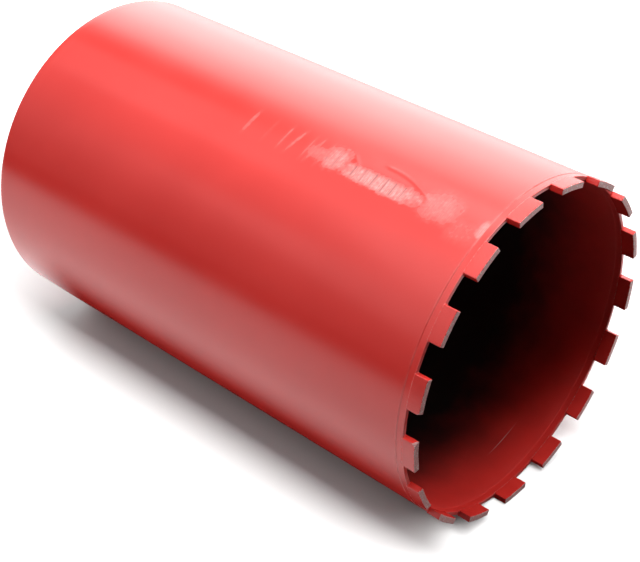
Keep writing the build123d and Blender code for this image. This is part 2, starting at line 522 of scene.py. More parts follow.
def make_mesh(name, points, faces, marks):
    """Mesh of quads, with one number at each point for each named mark."""
    mesh = bpy.data.meshes.new(name)
    mesh.vertices.add(len(points))
    mesh.vertices.foreach_set("co", points.astype(np.float32).ravel())
    mesh.loops.add(faces.size)
    mesh.loops.foreach_set("vertex_index", faces.astype(np.int32).ravel())
    mesh.polygons.add(len(faces))
    mesh.polygons.foreach_set("loop_start", np.arange(0, faces.size, 4, dtype=np.int32))
    mesh.update(calc_edges=True)
    for mark, values in marks.items():
        made = mesh.attributes.new(mark, "FLOAT", "POINT")
        made.data.foreach_set("value", values.astype(np.float32).ravel())
    return mesh


def close_poles(mesh):
    """Merges the points of a ring that has shrunk to nothing."""
    work = bmesh.new()
    work.from_mesh(mesh)
    bmesh.ops.remove_doubles(work, verts=work.verts, dist=1e-7)
    work.to_mesh(mesh)
    work.free()


def make_piece(name, grids, material, replaced=(), crease=35.0, close_rows=True):
    """Object from one or more grids of points, each given as (points, marks). Rows and columns
    are closed, faces look outwards, and edges sharper than the crease stay crisp."""
    all_points, all_faces, all_marks, start = [], [], {}, 0
    for points, marks in grids:
        rows, columns = points.shape[:2]
        flat = points.reshape(-1, 3)
        faces = grid_faces(rows, columns, close_rows, True)
        if enclosed_volume(flat - flat.mean(axis=0), faces) < 0.0:
            faces = faces[:, ::-1]
        all_points.append(flat)
        all_faces.append(faces + start)
        for mark, values in marks.items():
            all_marks.setdefault(mark, []).append(values.ravel())
        start += len(flat)
    marks = {mark: np.concatenate(values) for mark, values in all_marks.items()}
    mesh = make_mesh(name, np.concatenate(all_points), np.concatenate(all_faces), marks)
    if not close_rows:
        close_poles(mesh)
    mesh.shade_smooth()
    mesh.set_sharp_from_angle(angle=math.radians(crease))
    mesh.materials.append(material)
    piece = bpy.data.objects.new(name, mesh)
    scene.collection.objects.link(piece)
    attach(piece, "root")
    if replaced:
        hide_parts(*replaced)
    print(name, "points", len(mesh.vertices), "faces", len(mesh.polygons))
    return piece


# %% Helpers for shapes
def smooth(value, low, high):
    """0 below low and 1 above high, with a smooth S curve between, 3t^2 - 2t^3."""
    t = np.clip((value - low) / (high - low), 0.0, 1.0)
    return t * t * (3.0 - 2.0 * t)


def hump(value, low, high, edge):
    """1 between low and high, falling smoothly to 0 over the edge's width outside them."""
    return smooth(value, low - edge, low) * (1.0 - smooth(value, high, high + edge))


def wander(places, wavelength, seed, waves=24):
    """Smooth random field, mostly between -1 and 1, with rare peaks past 2: the sum of cosine
    waves in random directions over the root of their number, with lengths from half to twice
    the given one."""
    random = np.random.default_rng(seed)
    directions = random.normal(size=(waves, places.shape[-1]))
    directions /= np.linalg.norm(directions, axis=1, keepdims=True)
    lengths = wavelength * 2.0 ** random.uniform(-1.0, 1.0, waves)
    phases = random.uniform(0.0, 2.0 * np.pi, waves)
    turns = places @ (directions / lengths[:, None]).T * 2.0 * np.pi + phases
    return np.cos(turns).sum(axis=-1) / np.sqrt(waves)


def closed_outline(corners, cuts, steps):
    """Closed outline (n, 2) with eased corners. Corner k is a parabola that starts cuts[k]
    before it and ends as far behind it, and the side that follows is cut in steps[k]."""
    corners = np.array(corners)
    t = np.linspace(0.0, 1.0, 4)[:, None]
    parts = []
    for k, corner in enumerate(corners):
        back = corners[k - 1] - corner
        ahead = corners[(k + 1) % len(corners)] - corner
        start = corner + back / np.linalg.norm(back) * cuts[k]
        end = corner + ahead / np.linalg.norm(ahead) * cuts[k]
        if cuts[k] > 0.0:
            parts.append((1 - t) ** 2 * start + 2 * t * (1 - t) * corner + t ** 2 * end)
        else:
            parts.append(corner[None])
        reach = np.linalg.norm(ahead) - cuts[k] - cuts[(k + 1) % len(corners)]
        pieces = max(1, round(reach / steps[k]))
        share = np.arange(1, pieces)[:, None] / pieces
        parts.append(end + share * reach * ahead / np.linalg.norm(ahead))
    return np.concatenate(parts)


def swept_round(outline, angles):
    """Grid of points: each (radius, height) of the outline turned to each angle about Z."""
    radius, height = outline[:, :1], outline[:, 1:]
    return np.stack([radius * np.cos(angles), radius * np.sin(angles),
                     height + 0.0 * angles], axis=-1)


print("shape helpers ready")


# %% [markdown]
# ## Red paint
#
# The whole bit is sprayed in one glossy red after it is brazed and welded. The paint is smooth,
# with a faint orange peel, and a little darker or lighter from place to place. Where a mark
# called ground says that the steel under it was dressed with a grinder, the paint keeps the
# grinder's scratches and grooves, so it is rougher there. It is paler there too, partly as thin
# paint and partly as a painted highlight, the sheen that the rough strip catches, and its grooves
# are a darker red, a painted shade. The same mark makes the turned shoulders and the rim pale, as
# a painted highlight. Where a mark called bare says that it is chipped, the grey steel shows. In
# the bore the spray thins out to dark steel, made almost black as a painted shade of the deep
# bore, and a core has left a thin scratch round it. Patterns like these could be painted by hand
# on an image, but made from noise and places they stay sharp at any distance.

# %% Make the paint
PAINT_RED = (0.82, 0.042, 0.034, 1.0)
PAINT_DEEP = (0.76, 0.034, 0.027, 1.0)
SCUFF_AND_SHEEN = (0.86, 0.36, 0.34, 1.0)  # thin paint over the grinder's scratches, made paler as a painted highlight
BARE_STEEL = (0.36, 0.33, 0.32, 1.0)
# painted shade for the grinder's grooves
GROOVE_SHADE = (0.34, 0.09, 0.085, 1.0)
GRINDER_PASS = 8.2 * MM  # about how far the grinder moved on between two passes
INSIDE_STEEL_AND_SHADE = (0.022, 0.014, 0.013, 1.0)  # mill scale inside the tube, made almost black as painted shade of the deep bore
SPRAY_START = 0.035  # height in the bore where the spray begins to thin out and the painted shade begins
SPRAY_END = 0.120
BORE_EDGE = bore_radius + LAND_DEPTH + 0.2 * MM  # what is nearer to the axis is in the bore
BORE_END = back_z - 20 * MM
SCRATCH_HEIGHT = 0.038
SCRATCH_EDGE = (0.1 * MM, 0.5 * MM)  # from its middle line to where it has faded out
SCRATCH_FAR_END = (-0.052, -0.030)  # to the near side, where it fades in
SCRATCH_NEAR_END = (-0.012, -0.028)  # and where it fades out


def in_the_bore(tree, spot, height):
    """1 on points nearer to the axis than the middle of the wall and below the plate."""
    within = sums(tree, "LESS_THAN", from_axis(tree, spot), BORE_EDGE)
    return sums(tree, "MULTIPLY", within, sums(tree, "LESS_THAN", height, BORE_END))


def grinder_lines(tree, across, height, ground):
    """The grinder's marks on a strip, as two outputs: fine scratches across it from 0 to 1, and
    1 in the narrow grooves between two passes, with smaller grooves between them."""
    drawn_out = add(tree, "CombineXYZ", X=sums(tree, "MULTIPLY", across, 70.0),
                    Y=sums(tree, "MULTIPLY", height, 1500.0)).outputs[0]
    scratches = noise(tree, drawn_out, 1.0, 3.0, 0.7)
    slanted = sums(tree, "MULTIPLY_ADD", across, 0.06, height)
    cut = 0.0
    for pitch, width, depth in ((GRINDER_PASS, 0.14, 1.0), (GRINDER_PASS / 3, 0.2, 0.45)):
        cells = add(tree, "TexVoronoi", {"voronoi_dimensions": "1D", "feature": "DISTANCE_TO_EDGE"},
                    W=slanted, Scale=1.0 / pitch, Randomness=0.4)
        groove = ramp(tree, cells.outputs["Distance"], width / 3, width, depth, 0.0)
        cut = sums(tree, "MAXIMUM", cut, groove)
    broken = ramp(tree, noise(tree, drawn_out, 0.35, 2.0), 0.3, 0.6, 0.4, 1.0)
    cut = sums(tree, "MULTIPLY", sums(tree, "MULTIPLY", cut, broken), ramp(tree, ground, 0.3, 0.6))
    return scratches, cut


def bore_scratch(tree, spot, height):
    """1 along the thin scratch round the lower far part of the bore, which a core has left."""
    aside = dot(tree, spot, NEAR)
    off = sums(tree, "ABSOLUTE", sums(tree, "SUBTRACT", height, SCRATCH_HEIGHT))
    line = ramp(tree, off, *SCRATCH_EDGE, 1.0, 0.0)
    far_end, near_end = (ramp(tree, aside, *ends) for ends in (SCRATCH_FAR_END, SCRATCH_NEAR_END))
    lower = sums(tree, "LESS_THAN", dot(tree, spot, UP), 0.0)
    stretch = sums(tree, "MULTIPLY", sums(tree, "MULTIPLY", far_end, near_end), lower)
    return sums(tree, "MULTIPLY", line, stretch)


def paint(name, gloss=0.2):
    """Glossy red paint on steel. Its marks are ground, bare and across. Where ground is, the paint
    is paler, partly as a painted highlight, and darker in the grooves as painted shade. Deep in
    the bore it darkens to almost black, partly as painted shade.
    """
    material, tree, output = new_material(name)
    spot = add(tree, "TexCoord").outputs["Object"]
    ground, bare, across = (add(tree, "Attribute", {"attribute_name": mark}).outputs["Fac"]
                            for mark in ("ground", "bare", "across"))
    height = add(tree, "SeparateXYZ", Vector=spot).outputs["Z"]
    cloudy = ramp(tree, noise(tree, spot, 9.0, 3.0), 0.3, 0.7)
    scratches, cut = grinder_lines(tree, across, height, ground)
    colour = blend_colours(tree, cloudy, PAINT_RED, PAINT_DEEP)
    # painted highlight: the ground strip is blended to a pale colour, partly thin scratched paint and
    # partly the sheen that a rough strip catches
    uneven = sums(tree, "MULTIPLY", ground, ramp(tree, scratches, 0.35, 0.65, 0.55, 1.0))
    grain = ramp(tree, noise(tree, spot, 700.0, 3.0), 0.4, 0.6, 0.8, 1.0)
    uneven = sums(tree, "MULTIPLY", uneven, grain)
    colour = blend_colours(tree, uneven, colour, SCUFF_AND_SHEEN)
    # painted shade: the grinder's grooves are darkened, as shade falls in them
    colour = blend_colours(tree, sums(tree, "MULTIPLY", cut, 0.75), colour, GROOVE_SHADE)
    colour = blend_colours(tree, sums(tree, "GREATER_THAN", bare, 0.5), colour, BARE_STEEL)
    within = in_the_bore(tree, spot, height)
    ragged = sums(tree, "MULTIPLY_ADD", noise(tree, spot, 35.0, 4.0), 0.04, height)
    scratch = sums(tree, "MULTIPLY", bore_scratch(tree, spot, height), within)
    colour = blend_colours(tree, scratch, colour, SCUFF_AND_SHEEN)
    # painted shade: deep in the bore the colour goes almost black, partly thin spray over dark steel
    # and partly the shade of the deep bore
    fade = sums(tree, "MULTIPLY", ramp(tree, ragged, SPRAY_START, SPRAY_END), within)
    colour = blend_colours(tree, fade, colour, INSIDE_STEEL_AND_SHADE)
    rough = sums(tree, "MULTIPLY_ADD", ground, 0.3, gloss)
    rough = sums(tree, "MULTIPLY_ADD", within, 0.35, rough)
    rough = sums(tree, "MULTIPLY_ADD", noise(tree, spot, 30.0, 4.0), 0.06, rough)
    peel_bump = add(tree, "Bump", Height=noise(tree, spot, 260.0, 2.0), Strength=0.03, Distance=0.0004)
    scratch_height = sums(tree, "MULTIPLY_ADD", scratches, ground, sums(tree, "MULTIPLY", cut, -0.8))
    bump = add(tree, "Bump", Height=scratch_height, Strength=0.35, Distance=0.0003,
               Normal=peel_bump.outputs[0])
    surface = add(tree, "BsdfPrincipled", Base_Color=colour, Roughness=rough, Normal=bump.outputs[0])
    tree.links.new(surface.outputs[0], output.inputs["Surface"])
    return material


barrel_paint = paint("red_barrel_paint")
print("paint nodes:", len(barrel_paint.node_tree.nodes))

# %% [markdown]
# ## Barrel
#
# The barrel is a rolled tube, welded along its length. The weld was ground flush, which left a
# slightly hollow strip, and the rim was turned thin inside and outside to take the segments.
# A closed outline of the wall is carried round the axis. Sculpting would give the marks too, but
# a grid keeps the wall closed and its thickness right. The rows and the columns of the grid lie
# close together where the strip has its marks.

# %% Outline of the barrel's wall and the angles round it
SEAM_FROM_UP = 21.3  # degrees down the near side, where the lengthwise weld runs
SEAM_DETAIL_END = 0.235  # height up to which the strip's ripples need short rows
FINE_STEP = 1.3 * MM
COARSE_STEP = 4.5 * MM
FINE_ANGLE = math.radians(7.0)  # half of the band of close columns round the weld
FINE_COLUMNS = 56
COARSE_COLUMNS = 190

land_z = rim_z + LAND_WIDTH
wall_z = land_z + LAND_RUNOUT
barrel_corners = [
    (barrel_radius - BACK_BEVEL, back_z),
    (barrel_radius, back_z - BACK_BEVEL),
    (barrel_radius, SEAM_DETAIL_END),
    (barrel_radius, wall_z),
    (barrel_radius - LAND_DEPTH, land_z),
    (barrel_radius - LAND_DEPTH, rim_z),
    (bore_radius + LAND_DEPTH, rim_z),
    (bore_radius + LAND_DEPTH, land_z),
    (bore_radius, wall_z),
    (bore_radius, back_z - BACK_BORE_CHAMFER),
    (bore_radius + BACK_BORE_CHAMFER, back_z),
]
barrel_cuts = np.array([0.4, 0.6, 0.0, 0.15, 0.15, 0.2, 0.2, 0.15, 0.15, 0.2, 0.2]) * MM
barrel_steps = [0.6 * MM, COARSE_STEP, FINE_STEP, MM, MM, MM, MM, MM, 9 * MM, MM, MM]
barrel_outline = closed_outline(barrel_corners, barrel_cuts, barrel_steps)

seam_angle = barrel_angle(SEAM_FROM_UP)
fine_angles = np.linspace(-FINE_ANGLE, FINE_ANGLE, FINE_COLUMNS, endpoint=False)
coarse_angles = np.linspace(FINE_ANGLE, 2 * np.pi - FINE_ANGLE, COARSE_COLUMNS, endpoint=False)
barrel_angles = seam_angle + np.concatenate([fine_angles, coarse_angles])
barrel_points = swept_round(barrel_outline, barrel_angles)
print("barrel grid", barrel_points.shape[:2])

# %% [markdown]
# ### Dressed weld
#
# The weld was dressed by hand with an angle grinder, so it has no even shape. The grinder took
# most between 66 and 148 mm above the tips, rested in places, and left a lip at the far edge
# that turns in. Each place is an oval with a soft, ragged edge, given by where it lies on the
# strip. Where it was ground, the steel is a little hollow and the paint is thin and scratched.
# It is painted pale there, partly for that and partly as a painted highlight, the sheen that the
# rough strip catches from the lamps.

# %% Where the grinder worked
GROUND_PLACES = [  # across and height of the middle, half sizes, and how much was ground
    (1.3 * MM, 0.098, 6.6 * MM, 0.034, 1.0),
    (-2.4 * MM, 0.137, 9.8 * MM, 0.0095, 0.75),
    (-0.5 * MM, 0.150, 6.0 * MM, 0.012, 0.35),
    (-1.0 * MM, 0.051, 12.0 * MM, 0.015, 0.42),
    (7.0 * MM, 0.028, 9.5 * MM, 0.012, 0.18),
    (0.0 * MM, 0.0165, 7.0 * MM, 0.003, 0.9),
]
GROUND_DEPTH = 0.35 * MM
WAVE_HEIGHT = 0.02 * MM  # of the rolled sheet
PAINT_ROOM = 0.04 * MM  # the tube is this much smaller than its CAD size, to leave the waves room
LONG_LIP = 0.34 * MM  # height of each lip, and half of its width
LONG_LIP_WIDTH = 1.5 * MM
SHORT_LIP = 0.26 * MM
SHORT_LIP_WIDTH = 1.6 * MM
CROSS_MARKS = [  # height, slant and strength of single marks where the grinder was set down
    (0.148, 0.1, 0.3), (0.157, 0.1, 0.35), (0.162, 0.0, 0.25), (0.174, 0.17, 0.45),
    (0.183, 0.0, 0.3), (0.197, 0.0, 0.1), (0.215, 0.0, 0.45),
]


def ground_amount(across, height):
    """0 to 1 where the weld was ground. An oval's reach is the cube root of the sum of the
    cubed shares of its half sizes, so it has flat sides, and a random field frays its edge."""
    strip = np.stack([across, height], axis=-1)
    fray = 0.07 * wander(strip, 5 * MM, 8) + 0.06 * wander(strip, 14 * MM, 5)
    amount = np.zeros(across.shape)
    for middle, level, half_width, half_height, strength in GROUND_PLACES:
        u = np.abs(across - middle) / half_width
        v = np.abs(height - level) / half_height
        reach = (u ** 3 + v ** 3) ** (1 / 3) + fray
        amount = np.maximum(amount, strength * (1.0 - smooth(reach, 0.45, 1.25)))
    amount = amount * (0.92 + 0.14 * wander(strip, 4 * MM, 15))
    for level, slant, strength in CROSS_MARKS:
        off = height - level - slant * across
        bell = np.exp(-(off / (0.9 * MM)) ** 2) * hump(across, -5 * MM, 2 * MM, 11 * MM)
        amount = np.maximum(amount, strength * bell * (1.0 + 2.0 * fray))
    return amount


def lip_height(across, height):
    """Raised lip at the far edge: a bell curve on a parabola that turns in towards the rim, and
    a second, short one where the wider ground place ends."""
    turned = np.clip((0.097 - height) / 0.033, 0.0, 1.1)
    long_line = (-13.0 + 9.3 * turned ** 2) * MM
    long_bell = np.exp(-((across - long_line) / LONG_LIP_WIDTH) ** 2)
    short_line = -10.5 * MM + 0.85 * (0.128 - height)
    short_bell = np.exp(-((across - short_line) / SHORT_LIP_WIDTH) ** 2)
    return (LONG_LIP * hump(height, 0.066, 0.098, 8 * MM) * long_bell
            + SHORT_LIP * hump(height, 0.121, 0.127, 3 * MM) * short_bell)


angle_from_seam = (seam_angle - barrel_angles + np.pi) % (2 * np.pi) - np.pi
across = np.broadcast_to(angle_from_seam * barrel_radius, barrel_points.shape[:2])
height = barrel_points[..., 2]
outer = smooth(barrel_outline[:, :1], barrel_radius - 0.2 * MM, barrel_radius - 0.1 * MM)
outer = np.broadcast_to(outer, across.shape)
ground = ground_amount(across, height)
near_weld = hump(across, -18 * MM, 14 * MM, 12 * MM) * (1.0 - smooth(height, 0.13, 0.20))
waves = WAVE_HEIGHT * wander(barrel_points, 0.16, 3)
waves = waves + near_weld * wander(barrel_points, 14 * MM, 6) * WAVE_HEIGHT
hollow = GROUND_DEPTH * smooth(ground, 0.0, 1.0)
inwards = outer * (hollow - lip_height(across, height) + PAINT_ROOM - waves)
radial = np.stack([np.cos(barrel_angles), np.sin(barrel_angles), 0 * barrel_angles], axis=-1)
barrel_points = barrel_points - inwards[..., None] * radial

# %% Paler paint on the turned shoulders and on the rim, a painted highlight
outline_radius = np.broadcast_to(barrel_outline[:, :1], across.shape)
patchy = 0.7 + 0.3 * wander(barrel_points, 12 * MM, 9)
shoulder = hump(height, land_z + 0.1 * MM, wall_z, 0.35 * MM) * patchy
outside_share = smooth(outline_radius, bore_radius + MM, bore_radius + 2 * MM)
on_rim = (1.0 - smooth(height, rim_z + 0.1 * MM, rim_z + 0.3 * MM)) * patchy
# painted highlight: the shoulders and the rim face are made pale where light would catch them
edge_highlight = np.maximum(shoulder * (0.08 + 0.30 * outside_share), 0.6 * on_rim)
# the mark ground holds the dressed weld and, as a painted highlight, the pale shoulders and rim
ground_and_sheen_mark = np.clip(np.maximum(outer * ground, edge_highlight), 0.0, 1.0)
barrel_marks = {"ground": ground_and_sheen_mark, "bare": 0 * ground_and_sheen_mark, "across": across}
make_piece("painted_barrel", [(barrel_points, barrel_marks)], barrel_paint,
           ["barrel_tube"])


# %% [markdown]
# ## Diamond segments
#
# A segment is a block of metal powder pressed and sintered with diamond grit in it, bent to the
# ring's radius. A closed section, a rounded rectangle, is carried along the segment and shrinks
# to a point in the middle of each end face. Each point is then pushed in or out by a small
# random field, because a sintered face is never quite flat. Corners that have broken off are
# made by pressing the points beyond a slanted plane back to it. Cutting the corners off with
# a boolean would be quicker to write, but it leaves flat cuts and ragged faces.

# %% Segment before it is bent
SEGMENT_EASE = 0.45 * MM  # radius of the edges round the tip and at the ends
ROOT_EASE = 0.12 * MM
SECTION_STEP = 0.34 * MM
CAP_RINGS = 8
segment_height = rim_z
segment_inner = ring_radius - SEGMENT_THICKNESS
segment_corners = [
    (segment_inner, 0.0),
    (ring_radius, 0.0),
    (ring_radius, rim_z),
    (segment_inner, rim_z),
]
segment_section = closed_outline(segment_corners, [SEGMENT_EASE, SEGMENT_EASE, ROOT_EASE, ROOT_EASE],
                                 [SECTION_STEP] * 4)
section_centre = np.array([ring_radius - SEGMENT_THICKNESS / 2, rim_z / 2])


def segment_stations():
    """Places along the segment and the share of the section's size there: full along the
    length, eased by a quarter circle at the ends, then shrinking to nothing."""
    half = SEGMENT_LENGTH / 2 - SEGMENT_EASE
    count = round(2 * half / SECTION_STEP)
    turn = np.linspace(0.0, np.pi / 2, 4)[1:]
    eased = 1.0 - SEGMENT_EASE * (1 - np.cos(turn)) / (SEGMENT_THICKNESS / 2)
    rings = np.linspace(eased[-1], 0.0, CAP_RINGS)[1:]
    cap = np.full(CAP_RINGS - 1, SEGMENT_LENGTH / 2)
    along = np.concatenate([half + SEGMENT_EASE * np.sin(turn), cap])
    share = np.concatenate([eased, rings])
    middle = np.linspace(-half, half, count)
    return (np.concatenate([-along[::-1], middle, along]),
            np.concatenate([share[::-1], np.ones(count), share]))


station_along, station_share = segment_stations()
section_grid = section_centre + station_share[:, None, None] * (segment_section - section_centre)
along_grid = np.broadcast_to(station_along[:, None], section_grid.shape[:2])
print("segment grid", along_grid.shape)

# %% Chips, worn tips and the bend
CHIPS = {  # segment: (end, size) of each broken corner; the ends are 1 anticlockwise and -1 clockwise
    "segment_17": [(-1, 2.6 * MM)],
    "segment_16": [(1, 3.0 * MM)],
    "segment_15": [(1, 1.5 * MM), (-1, 1.8 * MM)],
    "segment_03": [(-1, 0.9 * MM)],
}
SURFACE_ROUGH = 0.035 * MM


def chip(flat, end, size, seed):
    """Presses the points beyond a slanted plane back to it. flat holds (along, radius,
    height), and the plane cuts off the tip corner at one end, more of it outside."""
    corner = np.array([end * SEGMENT_LENGTH / 2, ring_radius, 0.0])
    normal = np.array([end * 1.0, 0.45, -0.9])
    normal /= np.linalg.norm(normal)
    rough = wander(flat, 1.6 * MM, seed) * 0.18 * MM
    beyond = (flat - corner) @ normal + 0.5 * size + rough
    cut = np.maximum(beyond, 0.0)
    return flat - cut[..., None] * normal, (beyond > 0.0).astype(float)


def bend(flat, number):
    """Points (along, radius, height) of a straight segment bent round the axis and turned to
    its place in the ring. The reach outwards is the root of radius squared less along squared,
    so the outer and inner faces become parts of a cylinder."""
    centre = math.radians(-90.0 + 360.0 / len(segment_names) * (number - 1))
    outward = np.array([math.cos(centre), math.sin(centre), 0.0])
    sideways = np.array([-math.sin(centre), math.cos(centre), 0.0])
    reach = np.sqrt(flat[..., 1] ** 2 - flat[..., 0] ** 2)
    return reach[..., None] * outward + flat[..., :1] * sideways + flat[..., 2:] * BACK


def segment_grid(name):
    """Points of one segment in its place, with its marks."""
    number = int(name.split("_")[1])
    flat = np.concatenate([along_grid[..., None], section_grid], axis=-1)
    bare = np.zeros(along_grid.shape)
    for k, (end, size) in enumerate(CHIPS.get(name, [])):
        flat, broken = chip(flat, end, size, 10 * number + k)
        bare = np.maximum(bare, broken)
    away = flat - np.array([0.0, *section_centre])
    away = away / np.array([SEGMENT_LENGTH / 2, SEGMENT_THICKNESS / 2, segment_height / 2])
    push = np.minimum((wander(flat, 1.1 * MM, number) - 2.0) * SURFACE_ROUGH, 0.0)
    near_root = smooth(flat[..., 2], 0.9 * segment_height, segment_height)
    sideways_only = 1.0 - near_root[..., None] * np.array([0.0, 0.0, 1.0])
    flat = flat + away * push[..., None] * sideways_only
    wear_line = flat[..., 2] + wander(flat, 1.5 * MM, number + 40) * 0.12 * MM
    worn = 1.0 - smooth(wear_line, 0.15 * MM, 0.5 * MM)
    return bend(flat, number), {"bare": bare, "worn": worn}


print("broken corners:", sum(len(corners) for corners in CHIPS.values()))

# %% [markdown]
# ### Finish of a segment
#
# The red paint covers the segments too. On the cutting face it has worn through to the matrix
# of bronze and steel, pale pink with the paint that is left in its pores, and diamonds stand in
# it as small specks, painted paler than the matrix as a painted glint of the grit. A cell
# pattern gives each speck its own place.

# %% Make the segment's finish
MATRIX_PALE = (0.86, 0.47, 0.45, 1.0)
MATRIX_DARK = (0.68, 0.30, 0.29, 1.0)
# diamond grit, its pale colour a painted glint
DIAMOND_GLINT = (0.85, 0.74, 0.71, 1.0)


def segment_finish():
    """Paint that is worn through to the sintered matrix where the marks worn and bare say so."""
    material, tree, output = new_material("painted_segment")
    spot = add(tree, "TexCoord").outputs["Object"]
    worn = add(tree, "Attribute", {"attribute_name": "worn"}).outputs["Fac"]
    bare = add(tree, "Attribute", {"attribute_name": "bare"}).outputs["Fac"]
    grain = noise(tree, spot, 1100.0, 3.0, 0.6)
    cells = add(tree, "TexVoronoi", Vector=spot, Scale=1500.0)
    share = add(tree, "SeparateColor", Color=cells.outputs["Color"]).outputs[0]
    grit_glint = sums(tree, "GREATER_THAN", share, 0.9)
    patchy = sums(tree, "SUBTRACT", noise(tree, spot, 420.0, 3.0), 0.68)
    patchy = sums(tree, "MULTIPLY_ADD", patchy, 1.3, worn)
    broken = sums(tree, "GREATER_THAN", bare, 0.5)
    through = sums(tree, "MAXIMUM", ramp(tree, patchy, 0.35, 0.65), broken)
    cloudy = ramp(tree, noise(tree, spot, 60.0, 3.0), 0.3, 0.7)
    red = blend_colours(tree, cloudy, PAINT_RED, PAINT_DEEP)
    matrix = blend_colours(tree, ramp(tree, grain, 0.35, 0.65), MATRIX_PALE, MATRIX_DARK)
    # painted glint: the diamond specks are given a pale colour
    matrix = blend_colours(tree, grit_glint, matrix, DIAMOND_GLINT)
    colour = blend_colours(tree, through, red, matrix)
    rough = sums(tree, "MULTIPLY_ADD", through, 0.2, 0.26)
    height = sums(tree, "MULTIPLY_ADD", through, grain, sums(tree, "MULTIPLY", grain, 0.35))
    bump = add(tree, "Bump", Height=height, Strength=0.35, Distance=0.00025)
    surface = add(tree, "BsdfPrincipled", Base_Color=colour, Roughness=rough, Normal=bump.outputs[0])
    tree.links.new(surface.outputs[0], output.inputs["Surface"])
    return material


# %% Place the segments round the ring
painted_segment = segment_finish()
for name in segment_names:
    make_piece("dressed_" + name, [segment_grid(name)], painted_segment, [name],
               crease=50.0, close_rows=False)

# %% [markdown]
# ## Braze at the foot of a segment
#
# Silver solder fills the joint and leaves a thin fillet round each foot. Outside and inside it
# lies on the turned band, under the part of the segment that stands proud, and at the ends it
# lies on the rim. It is a thin bead that is carried round a rounded rectangle. Its thickness
# wanders a little, and where it has spat, small specks under the paint look pale.

# %% Make the fillets
BRAZE_RADIUS = 0.5 * MM
BRAZE_AROUND = 8


def braze_grid(name):
    """Bead round one segment's foot: a circle of a wandering radius carried along a rounded
    rectangle, which dips from the band to the rim at both ends."""
    number = int(name.split("_")[1])
    half = SEGMENT_LENGTH / 2 + 0.1 * MM
    low, high = bore_radius + LAND_DEPTH - 0.1 * MM, barrel_radius - LAND_DEPTH + 0.1 * MM
    corners = [(half, low), (half, high), (-half, high), (-half, low)]
    path = closed_outline(corners, [0.8 * MM] * 4, [0.6 * MM] * 4)
    along, radius = path[:, 0], path[:, 1]
    at_end = smooth(np.abs(along), half - 0.9 * MM, half - 0.2 * MM)
    height = rim_z + (0.3 - 0.45 * at_end) * MM
    forward = np.roll(path, -1, axis=0) - np.roll(path, 1, axis=0)
    forward /= np.linalg.norm(forward, axis=1, keepdims=True)
    turn = np.linspace(0.0, 2 * np.pi, BRAZE_AROUND, endpoint=False)
    uneven = np.clip(wander(path, 4 * MM, number + 70), -1.0, 1.0)
    thick = BRAZE_RADIUS * (1 + 0.3 * uneven)
    out = thick[:, None] * np.cos(turn)
    flat = np.stack([along[:, None] + out * forward[:, 1:], radius[:, None] - out * forward[:, :1],
                     height[:, None] + thick[:, None] * np.sin(turn)], axis=-1)
    points = bend(flat, number)
    specks = np.clip(0.9 * wander(points, 1.3 * MM, number + 90), 0.0, 1.0)
    return points, {"ground": specks, "bare": 0 * specks}


make_piece("braze_fillets", [braze_grid(name) for name in segment_names], paint("painted_braze", 0.3),
           crease=80.0)


# %% [markdown]
# ## Weld beads at the back
#
# A weld bead is laid in small steps, and each step leaves a crescent ripple. The section of the
# bead is a corner filled by a slightly swollen slope, and the ripples are a wave that runs
# round the bead and lags behind in the middle of its face.

# %% Ring of weld in a corner
WELD_CROWN = 0.6 * MM
RIPPLE_PITCH = 4.4 * MM
RIPPLE_HEIGHT = 0.16 * MM


def weld_grid(wall_radius, wall_side, floor_z, leg, seed):
    """Closed section of the bead by angle. t runs across its face from the toe on the wall
    to the toe on the floor, and the face stands proud by the crown times sin(pi t), plus a
    ripple whose phase is the way round less a lag of sin(pi t)."""
    t = np.linspace(0.0, 1.0, 13)[:, None]
    ripples = round(2 * np.pi * wall_radius / RIPPLE_PITCH)
    angles = np.linspace(0.0, 2 * np.pi, 8 * ripples, endpoint=False)
    circle = np.stack([np.cos(angles), np.sin(angles)], axis=-1)
    uneven = wander(circle, 0.5, seed)
    phase = ripples * angles - 2.2 * np.sin(np.pi * t) + 0.8 * uneven
    wave = RIPPLE_HEIGHT * np.sqrt(np.sin(np.pi * t)) * (np.abs(np.sin(phase / 2)) - 0.5)
    proud = WELD_CROWN * np.sin(np.pi * t) * (1 + 0.3 * uneven) + wave
    size = leg * (1 + 0.05 * uneven)
    across = (size * t + proud * 0.7) * wall_side
    up = size * (1 - t) + proud * 0.7
    root = np.zeros((1, angles.size))
    radius = wall_radius + np.vstack([across, root])
    height = floor_z + np.vstack([up, root])
    return np.stack([radius * np.cos(angles), radius * np.sin(angles), height], axis=-1)


PLATE_WELD_LEG = 4.0 * MM
HUB_WELD_LEG = 5.0 * MM
collar_radius = hub_high.x
weld_paint = paint("painted_weld_metal", 0.28)
for name, node, radius, side, leg, seed in (
    ("plate_weld_bead", "plate_weld", bore_radius, -1, PLATE_WELD_LEG, 21),
    ("hub_weld_bead", "hub_weld", collar_radius, 1, HUB_WELD_LEG, 22),
):
    grid = weld_grid(radius, side, plate_top, leg, seed)
    zero = np.zeros(grid.shape[:2])
    make_piece(name, [(grid, {"ground": zero, "bare": zero})], weld_paint, [node],
               crease=60.0)

# %% [markdown]
# ## Back plate
#
# The plate is cut from rolled steel and faced on a lathe before it is welded in. Its shape is
# right as the CAD has it, so it stays, and only gets its paint: the same red, with the lathe's
# fine rings showing through.

# %% Paint the plate
PLATE_RING_PITCH = 0.8 * MM


def turning_rings(tree, spot, pitch):
    """Waves of the lathe's rings: the sine of the distance from the axis over the pitch."""
    turns = sums(tree, "MULTIPLY", from_axis(tree, spot), 2 * math.pi / pitch)
    return sums(tree, "SINE", turns)


